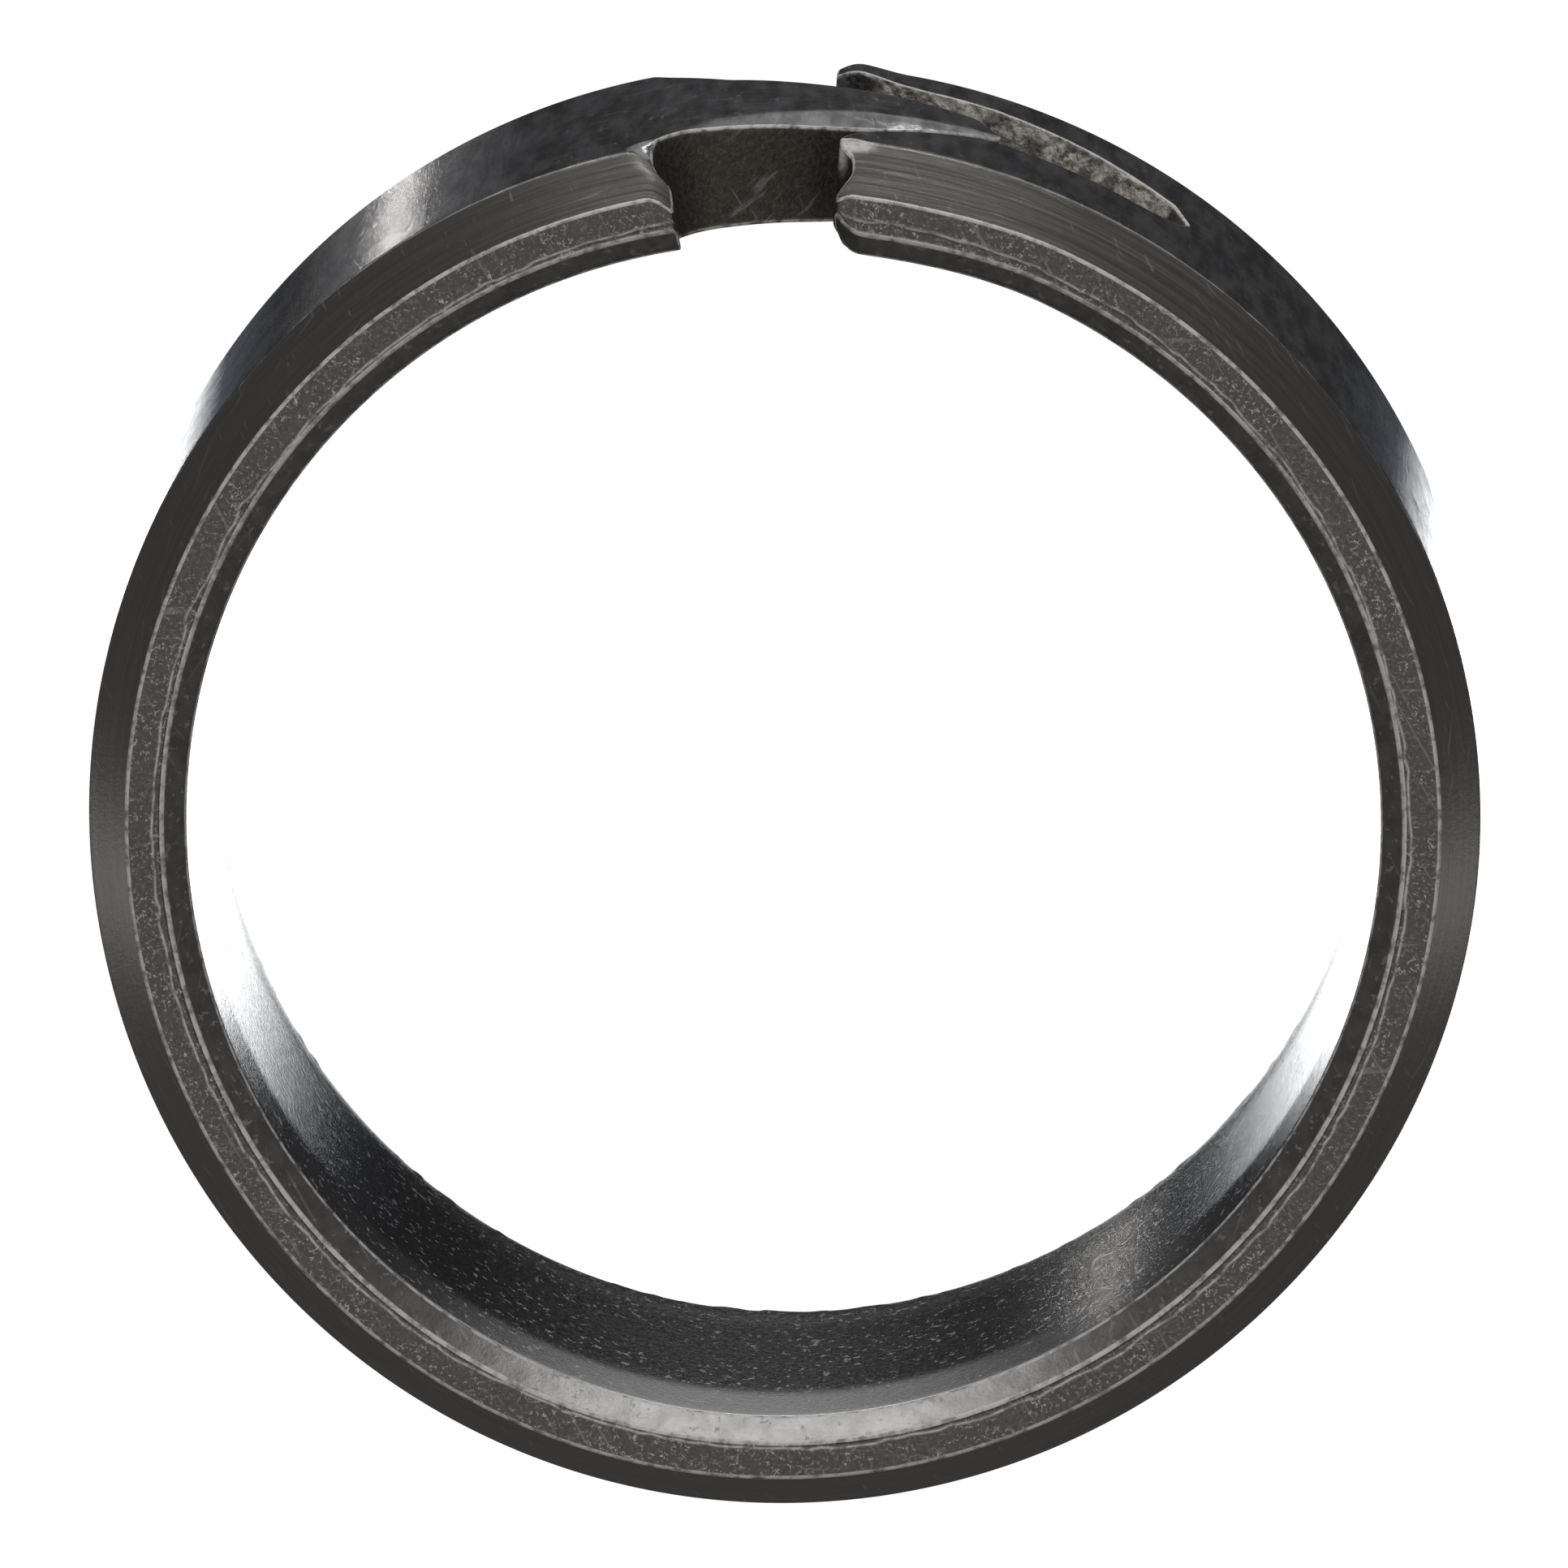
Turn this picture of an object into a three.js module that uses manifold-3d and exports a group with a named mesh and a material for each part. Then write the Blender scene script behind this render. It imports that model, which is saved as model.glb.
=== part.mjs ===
// A one-piece split spring collar with interlocking ends.
//
// The ring lies flat: its axis is +Z, its rear face is at z = 0 and its chamfered front face is at
// z = WIDTH. The joint between the two ends is at +Y. Angles are in degrees, clockwise from +Y when
// the front face is looked at. The real ring is one springy piece of steel, and here it is three
// solids that meet at its two flex planes: the back, the arm that ends in the tapered tongue, and
// the arm that ends in the slot that the tongue enters.

import * as THREE from 'three';
import { mergeVertices } from 'three/addons/utils/BufferGeometryUtils.js';
import Module from 'manifold-3d';

const wasm = await Module();
wasm.setup();

// Driving dimensions, in millimetres.
const OUTER_RADIUS = 15.0;
const BORE_RADIUS = 12.765;
const WIDTH = 11.1;
const CHAMFER = { radial: 0.87, axial: 1.4 };
const LEAD_IN = { radial: 0.51, axial: 0.45 };
const MOUTH_TAPER = { radial: 0.095, axial: 1.96 };
const REAR_EDGE_BREAK = 0.12;

// The flex planes, and the gap that is left at each one.
const FLEX_ANGLE = 120;
const FLEX_GAP = 0.3;

// The tongue end. Places are (s, z): s is the distance round the outer surface from +Y.
const TONGUE_END_FACE = -2.49;
const TONGUE_ROOT_FILLET = { s: -1.3, z: 9.4, radius: 1.55 };
const TONGUE_FRONT_EDGE = [[0.7, 7.27], [3.2, 6.1], [4.2, 5.65]];
const TONGUE_TIP = { s: 4.45, z: 5.2, radius: 0.3 };
const TONGUE_REAR_EDGE = [[4.19, 3.8], [2.3, 3.1], [0.5, 2.55], [-1.3, 1.85], [-2.59, 0.6]];
const TONGUE_REAR_CORNER = -3.06;

// The slot end, in the same developed places.
const SLOT_END_FACE = 1.31;
const SLOT_END_CORNER = 9.9;
const SLOT_MOUTH_BEND = [1.42, 8.55];
const SLOT_FRONT_WALL = [[2.37, 7.71], [4.3, 6.05]];
const SLOT_STRAIGHT_END = 7.7;
const SLOT_CLOSED_END = [9.3, 4.6];
const SLOT_REAR_WALL = [[8.9, 3.3], [6.9, 2.55], [4.6, 1.95], [3.0, 1.8], [1.55, 1.1]];
const LIP_END = { s: 1.0, top: 0.75 };

// How finely round surfaces are divided.
const RING_STEPS = 180;
const OUTLINE_STEP = 0.3;
const ARC_STEPS = 10;

// How far cutting shapes reach past the ring.
const MARGIN = 1.5;

const STEEL = { color: 0x3b3b3f, roughness: 0.42, metalness: 0.9 };

const radians = THREE.MathUtils.degToRad;

// A closed geometry as a solid that can be cut.
function solidOf(geometry) {
  geometry.deleteAttribute('normal');
  geometry.deleteAttribute('uv');
  const merged = mergeVertices(geometry, 1e-5);
  return new wasm.Manifold(new wasm.Mesh({
    numProp: 3,
    vertProperties: new Float32Array(merged.attributes.position.array),
    triVerts: new Uint32Array(merged.index.array),
  }));
}

function meshOf(name, solid) {
  const { vertProperties, triVerts } = solid.getMesh();
  const geometry = new THREE.BufferGeometry();
  geometry.setAttribute('position', new THREE.BufferAttribute(vertProperties, 3));
  geometry.setIndex(new THREE.BufferAttribute(triVerts, 1));
  geometry.computeVertexNormals();
  const mesh = new THREE.Mesh(geometry, new THREE.MeshStandardMaterial({ ...STEEL }));
  mesh.name = name;
  return mesh;
}

// The whole ring before its joint is cut: its section turned about the axis.
function turnedRing() {
  const e = REAR_EDGE_BREAK;
  const throat = BORE_RADIUS + MOUTH_TAPER.radial;
  const section = [
    [BORE_RADIUS + e, 0],
    [OUTER_RADIUS - e, 0],
    [OUTER_RADIUS, e],
    [OUTER_RADIUS, WIDTH - CHAMFER.axial],
    [OUTER_RADIUS - CHAMFER.radial, WIDTH],
    [throat + LEAD_IN.radial, WIDTH],
    [throat, WIDTH - LEAD_IN.axial],
    [BORE_RADIUS, WIDTH - LEAD_IN.axial - MOUTH_TAPER.axial],
    [BORE_RADIUS, e],
    [BORE_RADIUS + e, 0],
  ];
  const profile = section.map(([r, z]) => new THREE.Vector2(r, z));
  const geometry = new THREE.LatheGeometry(profile, RING_STEPS);
  geometry.rotateX(Math.PI / 2);
  return solidOf(geometry);
}

// A wedge of space between two angles, taller and wider than the ring.
function wedge(from, to) {
  const reach = OUTER_RADIUS * 1.3;
  const shape = new THREE.Shape().moveTo(0, 0);
  const count = Math.ceil((to - from) / 20);
  for (let i = count; i >= 0; i -= 1) {
    const angle = radians(from + ((to - from) * i) / count);
    shape.lineTo(reach * Math.sin(angle), reach * Math.cos(angle));
  }
  const depth = WIDTH + 2 * MARGIN;
  const geometry = new THREE.ExtrudeGeometry(shape, { depth, bevelEnabled: false });
  geometry.translate(0, 0, -MARGIN);
  return solidOf(geometry);
}

// A closed outline in developed places, with its straight runs divided so that it can bend.
function dividedOutline(path) {
  const divided = [];
  const corners = path.getPoints(ARC_STEPS);
  corners.forEach((corner, i) => {
    const next = corners[(i + 1) % corners.length];
    const steps = Math.max(1, Math.ceil(corner.distanceTo(next) / OUTLINE_STEP));
    if (corner.distanceTo(next) < 1e-6) return;
    for (let k = 0; k < steps; k += 1) divided.push(corner.clone().lerp(next, k / steps));
  });
  return new THREE.Shape(divided);
}

// A cutter that goes through the wall of the ring along the radius, with a developed outline.
function radialCutter(path) {
  const outside = OUTER_RADIUS + 2 * MARGIN;
  const inside = BORE_RADIUS - MARGIN;
  const geometry = new THREE.ExtrudeGeometry(dividedOutline(path), {
    depth: outside - inside,
    bevelEnabled: false,
  });
  const { position } = geometry.attributes;
  for (let i = 0; i < position.count; i += 1) {
    const angle = position.getX(i) / OUTER_RADIUS;
    const radius = outside - position.getZ(i);
    position.setXYZ(i, radius * Math.sin(angle), radius * Math.cos(angle), position.getY(i));
  }
  return solidOf(geometry);
}

// Everything round the tongue: the gap in front of it, past its tip and behind it.
function spaceAroundTongue() {
  const fillet = TONGUE_ROOT_FILLET;
  const [nextS, nextZ] = TONGUE_FRONT_EDGE[0];
  const above = Math.sqrt(fillet.radius ** 2 - (fillet.s - TONGUE_END_FACE) ** 2);
  const start = Math.PI - Math.atan2(above, fillet.s - TONGUE_END_FACE);
  const toNext = Math.hypot(nextS - fillet.s, nextZ - fillet.z);
  const heading = Math.atan2(nextZ - fillet.z, nextS - fillet.s);
  const end = heading - Math.acos(fillet.radius / toNext) + 2 * Math.PI;
  const right = TONGUE_TIP.s + MARGIN;
  const path = new THREE.Path();
  path.moveTo(right, WIDTH + MARGIN);
  path.lineTo(TONGUE_END_FACE, WIDTH + MARGIN);
  path.absarc(fillet.s, fillet.z, fillet.radius, start, end, false);
  TONGUE_FRONT_EDGE.forEach(([s, z]) => path.lineTo(s, z));
  path.absarc(TONGUE_TIP.s, TONGUE_TIP.z, TONGUE_TIP.radius, Math.PI / 3, -Math.PI / 9, true);
  TONGUE_REAR_EDGE.forEach(([s, z]) => path.lineTo(s, z));
  path.lineTo(TONGUE_REAR_CORNER, 0);
  path.lineTo(TONGUE_REAR_CORNER, -MARGIN);
  path.lineTo(right, -MARGIN);
  return radialCutter(path);
}

// Everything between the two jaws of the slot end: the gap, the flared mouth and the slot.
function spaceInSlot() {
  const left = SLOT_END_FACE - 4 * MARGIN;
  const [bendS, bendZ] = SLOT_MOUTH_BEND;
  const [mouthS, mouthZ] = SLOT_FRONT_WALL[0];
  const slotFront = SLOT_FRONT_WALL[1][1];
  const [endS, endZ] = SLOT_CLOSED_END;
  const path = new THREE.Path();
  path.moveTo(left, WIDTH + MARGIN);
  path.lineTo(left, -MARGIN);
  path.lineTo(LIP_END.s, -MARGIN);
  path.lineTo(LIP_END.s, LIP_END.top);
  const [lastS, lastZ] = SLOT_REAR_WALL[SLOT_REAR_WALL.length - 1];
  path.quadraticCurveTo(LIP_END.s + 0.05, lastZ - 0.1, lastS, lastZ);
  [...SLOT_REAR_WALL].reverse().forEach(([s, z]) => path.lineTo(s, z));
  path.lineTo(endS, endZ);
  path.quadraticCurveTo(endS - 0.35, slotFront, SLOT_STRAIGHT_END, slotFront);
  path.lineTo(SLOT_FRONT_WALL[1][0], slotFront);
  path.lineTo(mouthS, mouthZ);
  path.quadraticCurveTo(bendS, bendZ, SLOT_END_FACE, SLOT_END_CORNER);
  path.lineTo(SLOT_END_FACE, WIDTH + MARGIN);
  return radialCutter(path);
}

const ring = turnedRing();
const halfGap = THREE.MathUtils.radToDeg(FLEX_GAP / (OUTER_RADIUS + BORE_RADIUS));
const armEnd = FLEX_ANGLE - halfGap;
const tongueReach = THREE.MathUtils.radToDeg((TONGUE_TIP.s + MARGIN / 2) / OUTER_RADIUS);
const lipReach = THREE.MathUtils.radToDeg((LIP_END.s - MARGIN / 2) / OUTER_RADIUS);

function backArc() {
  return ring.intersect(wedge(FLEX_ANGLE + halfGap, 360 - FLEX_ANGLE - halfGap));
}

function tongueArm() {
  return ring.intersect(wedge(-armEnd, tongueReach)).subtract(spaceAroundTongue());
}

function slotArm() {
  return ring.intersect(wedge(lipReach, armEnd)).subtract(spaceInSlot());
}

const group = new THREE.Group();
group.add(meshOf('back_arc', backArc()));
group.add(meshOf('tongue_arm', tongueArm()));
group.add(meshOf('slot_arm', slotArm()));

export default group;
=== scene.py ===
import math

import bmesh
import bpy
import numpy as np
from mathutils import Matrix, Vector, geometry


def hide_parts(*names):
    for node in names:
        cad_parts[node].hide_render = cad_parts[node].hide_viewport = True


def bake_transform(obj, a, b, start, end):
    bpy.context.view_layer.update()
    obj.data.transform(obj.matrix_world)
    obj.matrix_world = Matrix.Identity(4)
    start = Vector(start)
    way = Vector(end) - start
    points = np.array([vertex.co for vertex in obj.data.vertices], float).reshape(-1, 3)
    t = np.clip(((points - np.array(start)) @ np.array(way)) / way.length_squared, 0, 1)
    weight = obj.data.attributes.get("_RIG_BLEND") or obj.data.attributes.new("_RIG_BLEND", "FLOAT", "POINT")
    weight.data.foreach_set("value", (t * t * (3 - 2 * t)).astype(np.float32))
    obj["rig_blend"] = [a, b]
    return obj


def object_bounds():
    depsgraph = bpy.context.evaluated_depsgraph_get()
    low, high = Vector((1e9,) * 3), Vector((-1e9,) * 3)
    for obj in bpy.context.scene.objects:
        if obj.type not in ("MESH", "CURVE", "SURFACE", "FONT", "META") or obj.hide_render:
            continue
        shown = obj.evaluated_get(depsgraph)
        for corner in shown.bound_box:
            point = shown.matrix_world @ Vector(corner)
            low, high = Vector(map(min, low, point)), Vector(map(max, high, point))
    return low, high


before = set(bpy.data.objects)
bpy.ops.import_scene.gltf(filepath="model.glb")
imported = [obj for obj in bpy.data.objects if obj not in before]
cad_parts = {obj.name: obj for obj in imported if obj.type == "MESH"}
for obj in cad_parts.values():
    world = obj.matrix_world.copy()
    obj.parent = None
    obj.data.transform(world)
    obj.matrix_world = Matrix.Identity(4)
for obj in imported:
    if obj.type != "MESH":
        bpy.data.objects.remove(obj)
cad_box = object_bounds()

MM = 0.001
OUTER = (cad_box[1][0] - cad_box[0][0]) / 2 / MM
WIDTH = (cad_box[1][2] - cad_box[0][2]) / MM

# The turned section. A blend is the width of the rounding at a crease, and EDGE and REAR_EDGE are
# the radii of the rounded edges.
BORE = 12.765
CHAMFER_RADIAL, CHAMFER_AXIAL, CHAMFER_BLEND = 0.87, 1.4, 0.05
BEVEL_RADIAL, BEVEL_AXIAL, BEVEL_BLEND = 0.51, 0.45, 0.03
TAPER_RADIAL, TAPER_AXIAL, TAPER_BLEND = 0.095, 1.96, 0.35
EDGE, REAR_EDGE = 0.05, 0.11

# The heights at which the chamfer, the bevel and the tapered mouth start.
CHAMFER_Z = WIDTH - CHAMFER_AXIAL
BEVEL_Z = WIDTH - BEVEL_AXIAL
TAPER_Z = WIDTH - BEVEL_AXIAL - TAPER_AXIAL

# The ring is meshed from its developed outlines this far on each side of +Y, in degrees. The rest
# is a plain grid, with this many columns in each half.
JOINT_HALF, PLAIN_COLUMNS = 40.0, 280
REACH = math.radians(JOINT_HALF) * OUTER

# Where the end faces of the tongue, of the slot's front jaw and of the slot's rear lip stand.
TONGUE_END, JAW_END, LIP_END = -2.49, 1.31, 1.0

# How far the ends depart from the turned section, in millimetres of radius.
TONGUE_CORNER_ROLL = 0.42
JAW_BEND, JAW_ROLL, JAW_NOTCH, JAW_BURR = 0.085, 0.16, 0.2, 0.06
LIP_ROLL, LIP_PROUD = 0.22, 0.12
BORE_BEND, BORE_ROLL = 0.12, 0.42

# The out-of-roundness: the number of its lobes, and its cosine and sine parts.
LOBES, ROUND_COS, ROUND_SIN = 3, 0.041, 0.036

# The bore: how far it stands inside its nominal size, its flares towards the rear, as size and
# depth, and the size of the nicks along its rear edge, with their unevenness as share, cells in a
# turn and seed.
BORE_INSET = 0.02
REAR_FLARES = ((0.012, 3.2), (0.07, 1.1))
REAR_NICKS, NICK_WOBBLES = 0.03, ((1.0, 260, 21), (0.4, 37, 22))

# The thin strip along the land's inner edge: its radius, its step down, the width of the painted
# highlight line on its ridge, its unevenness as size, cells in a turn and seed, and its dents as
# size, place in degrees and width.
STRIP_RADIUS, STRIP_DROP, RIDGE_WIDTH = 13.50, 0.03, 0.024
STRIP_WOBBLES = ((0.03, 300, 11), (0.02, 90, 12))
STRIP_DENTS = ((0.09, 290.4, 0.9), (0.07, 301.7, 0.6))

# The slot's rough rear wall: its teeth as depth, cells in a turn and seed, and its grain as depth,
# cells in a degree, cells in a millimetre and seed.
TEETH, GRAIN = (0.05, 700, 5), (0.04, 2, 6, 6)

# The mesh of the ends, in millimetres: how far corners are eased, the steps along an outline and
# over a sheet, finer near a crease, and how far sheet points keep from the border.
EASE, OUTLINE_STEP = 0.07, 0.11
SHEET_STEP, FINE_STEP, SHEET_CLEARANCE = 0.2, 0.14, 0.09
ROW_INSET, ROW_CLEARANCE = 0.035, 0.026
WELD = 2e-5

# ---------------------------------------------------------------- small helpers


def ramp(x, width):
    """Zero below 0 and x above it, with a rounded knee."""
    return 0.5 * (x + np.sqrt(x * x + width * width))


def smooth(x, a, b):
    """0 at a and 1 at b, eased and clamped."""
    t = np.clip((x - a) / (b - a), 0.0, 1.0)
    return t * t * (3 - 2 * t)


def bell(x, centre, width):
    """1 at the centre, falling off on both sides."""
    return np.exp(-(((x - centre) / width) ** 2))


def wobble(deg, cells, seed):
    """Smooth noise round the ring, between -1 and 1, with a whole number of cells in a turn."""
    values = np.random.default_rng(seed).uniform(-1, 1, cells)
    x = np.mod(np.asarray(deg, float) / 360.0, 1.0) * cells
    i = np.floor(x).astype(int) % cells
    t = x - np.floor(x)
    t = t * t * (3 - 2 * t)
    return values[i] * (1 - t) + values[(i + 1) % cells] * t


def grain(u, v, seed):
    """Smooth noise over a plane, between -1 and 1, with cells one unit wide."""
    size = 64
    table = np.random.default_rng(seed).uniform(-1, 1, (size, size))
    iu, iv = np.floor(u).astype(int), np.floor(v).astype(int)
    fu, fv = u - iu, v - iv
    fu, fv = fu * fu * (3 - 2 * fu), fv * fv * (3 - 2 * fv)
    iu, iv, next_u, next_v = iu % size, iv % size, (iu + 1) % size, (iv + 1) % size
    a = table[iu, iv] * (1 - fu) + table[next_u, iv] * fu
    b = table[iu, next_v] * (1 - fu) + table[next_u, next_v] * fu
    return a * (1 - fv) + b * fv


def curve(table):
    xs, ys = zip(*table)
    return lambda x: np.interp(x, xs, ys)


# ---------------------------------------------------------------- surfaces of the wall

# The tongue's end face: its place s by height.
TONGUE_FACE = curve([
    (7.9, -1.7), (8.1, -2.15), (8.4, -2.49), (8.9, -2.77), (9.4, -2.85), (9.9, -2.77),
    (10.39, -2.49), (11.1, -2.49),
])
# Along the tongue, by angle: the height of its front wall, the height at which its tapered flat
# starts, and how deep the flat is at the wall.
TONGUE_WALL = curve([
    (-11, 9.3), (-9.6, 8.35), (-8.5, 8.05), (-6.7, 7.91), (-3.6, 7.7), (-0.45, 7.49), (2.7, 7.26),
    (12.2, 6.1), (16, 5.65), (18, 5.3),
])
FLAT_START = curve([
    (-14, 8.6), (-9, 8.18), (-6.4, 7.29), (-4.5, 6.8), (-1.1, 6.57), (2.2, 6.26), (5.5, 5.97),
    (8.9, 5.81), (12.3, 5.66), (15.75, 5.31), (20, 5.1),
])
FLAT_DROP = curve([
    (-9.5, 0), (-7, 0.03), (-1, 0.1), (2.4, 0.155), (5.7, 0.2), (9, 0.2), (12.2, 0.13),
    (15.5, 0.05), (19, 0.03),
])


def out_of_round(deg):
    a = LOBES * np.radians(deg)
    return -ROUND_COS * np.cos(a) - ROUND_SIN * np.sin(a)


def nearness(distance, reach, limit=1.2):
    """1 at an end face and 0 at reach behind it. It goes on past the face, up to the limit."""
    return np.clip(1 - distance / reach, 0, limit)


def outer_radius(deg, z, arm):
    deg, z = np.asarray(deg, float), np.asarray(z, float)
    slope = CHAMFER_RADIAL / CHAMFER_AXIAL
    r = OUTER - slope * ramp(z - CHAMFER_Z, CHAMFER_BLEND) + out_of_round(deg)
    s = np.radians(deg) * OUTER
    if arm == "tongue":
        # The tapered flat, and the end face's corner rolled down.
        wall, start = TONGUE_WALL(deg), FLAT_START(deg)
        tilt = ramp((z - start) / np.maximum(wall - start, 0.3), 0.06)
        r = r - FLAT_DROP(deg) * np.minimum(tilt, 1.3) * smooth(deg, -9.5, -6.0)
        corner = nearness(TONGUE_FACE(z) - s, 0.6)
        r = r - TONGUE_CORNER_ROLL * corner**2 * smooth(z, 8.7, 9.7) * (deg < -5)
    if arm == "slot":
        # The front jaw is bent inwards, and its corner is rolled, notched and burred.
        r = r - JAW_BEND * smooth(z, 9.7, 11.1) * smooth(deg, 26, 12)
        r = r - JAW_ROLL * nearness(s - JAW_END, 0.4) ** 2 * smooth(z, 9.8, 10.4)
        r = r - JAW_NOTCH * nearness(s - JAW_END, 0.5, 1.1) ** 2 * bell(z, 10.35, 0.36)
        r = r + JAW_BURR * bell(s, 1.55, 0.3) * bell(z, 9.68, 0.1)
        # The rear lip's end stands proud and is rounded off.
        r = r - LIP_ROLL * nearness(s - LIP_END, 0.6, 1.1) ** 2 * smooth(z, 3.2, 1.4)
        r = r + LIP_PROUD * smooth(s, 2.6, 1.3) * smooth(z, 2.8, 1.6)
    return r


def inner_radius(deg, z, arm):
    deg, z = np.asarray(deg, float), np.asarray(z, float)
    taper = TAPER_RADIAL / TAPER_AXIAL
    bevel = BEVEL_RADIAL / BEVEL_AXIAL - taper
    r = BORE + taper * ramp(z - TAPER_Z, TAPER_BLEND) + bevel * ramp(z - BEVEL_Z, BEVEL_BLEND)
    r = r + out_of_round(deg) - BORE_INSET
    for size, depth in REAR_FLARES:
        r = r + size * np.clip(1 - z / depth, 0, 1) ** 2
    nicks = sum(share * wobble(deg, cells, seed) for share, cells, seed in NICK_WOBBLES)
    r = r - REAR_NICKS * np.clip(nicks, 0, 1) * smooth(z, 0.5, 0.1)
    if arm == "slot":
        # The front jaw's bend again, and its end face's corner rolled down on this side too.
        s = np.radians(deg) * OUTER
        r = r - BORE_BEND * smooth(deg, 26, 8)
        r = r + BORE_ROLL * nearness(s - JAW_END, 0.75) ** 2 * smooth(z, 8.0, 9.4)
    return r


def place(deg, r, z):
    """Points at these angles, radii and heights."""
    a = np.radians(deg)
    return np.stack([r * np.sin(a), r * np.cos(a), z + 0 * r], axis=-1)


# ---------------------------------------------------------------- outlines of the two ends


def arc(cx, cy, radius, start, end, count):
    a = np.radians(np.linspace(start, end, count))
    return [(cx + radius * math.cos(t), cy + radius * math.sin(t)) for t in a]


def quadratic(p0, p1, p2, count=12):
    t = np.linspace(0, 1, count)[:, None]
    p0, p1, p2 = map(np.array, (p0, p1, p2))
    return [tuple(p) for p in (1 - t) ** 2 * p0 + 2 * t * (1 - t) * p1 + t**2 * p2]


def evenly(points, step):
    """The path divided into equal steps."""
    points = np.array(points, float)
    keep = np.r_[True, np.linalg.norm(np.diff(points, axis=0), axis=1) > 1e-9]
    points = points[keep]
    run = np.r_[0, np.cumsum(np.linalg.norm(np.diff(points, axis=0), axis=1))]
    at = np.linspace(0, run[-1], max(2, int(round(run[-1] / step)) + 1))
    return np.stack([np.interp(at, run, points[:, k]) for k in (0, 1)], axis=1)


def eased(points, spread, step=0.02):
    """The path with its corners rounded, and both end points kept."""
    fine = evenly(points, step)
    half = int(4 * spread / step)
    kernel = np.exp(-0.5 * (np.arange(-half, half + 1) * step / spread) ** 2)
    kernel /= kernel.sum()
    out = []
    for k in (0, 1):
        head = 2 * fine[0, k] - fine[half:0:-1, k]
        tail = 2 * fine[-1, k] - fine[-2 : -half - 2 : -1, k]
        out.append(np.convolve(np.r_[head, fine[:, k], tail], kernel, "valid"))
    return np.stack(out, axis=1)


# The outlines run along the front edge or the rear edge of the ring, round the end, and back.
tongue_path = (
    [(-REACH, WIDTH), (TONGUE_END, WIDTH)]
    + arc(-1.3, 9.4, 1.55, 140.15, 255.2, 24)
    + [(0.7, 7.27), (3.2, 6.1), (4.2, 5.65)]
    + arc(4.45, 5.2, 0.3, 60, -20, 8)
    + [(4.19, 3.8), (2.3, 3.1), (0.5, 2.55), (-1.3, 1.85), (-2.59, 0.6), (-3.06, 0), (-REACH, 0)]
)
slot_path = (
    [(REACH, 0), (LIP_END, 0), (LIP_END, 0.75)]
    + quadratic((LIP_END, 0.75), (1.05, 1.0), (1.55, 1.1))
    + [(3.0, 1.8), (4.6, 1.95), (6.9, 2.55), (8.9, 3.3)]
    + quadratic((9.3, 4.6), (8.95, 6.05), (7.7, 6.05))
    + [(4.3, 6.05)]
    + quadratic((2.37, 7.71), (1.42, 8.55), (1.28, 9.5))
    + [(1.27, 9.78), (1.6, 10.1), (1.62, 10.5), (1.3, 10.88), (JAW_END, WIDTH), (REACH, WIDTH)]
)

# How far along the wall's thickness the rows of the band lie, dense where the land's strip is.
WALL_ROWS = np.r_[
    0.0, 0.02, 0.05, 0.1, 0.18, 0.27, 0.36, 0.45, 0.53, 0.6,
    0.66, 0.70, 0.735, 0.765, 0.79, 0.815, 0.84, 0.865, 0.89, 0.915, 0.94, 0.965, 0.985, 1.0,
]
ROUND_ROWS = 5


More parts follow.
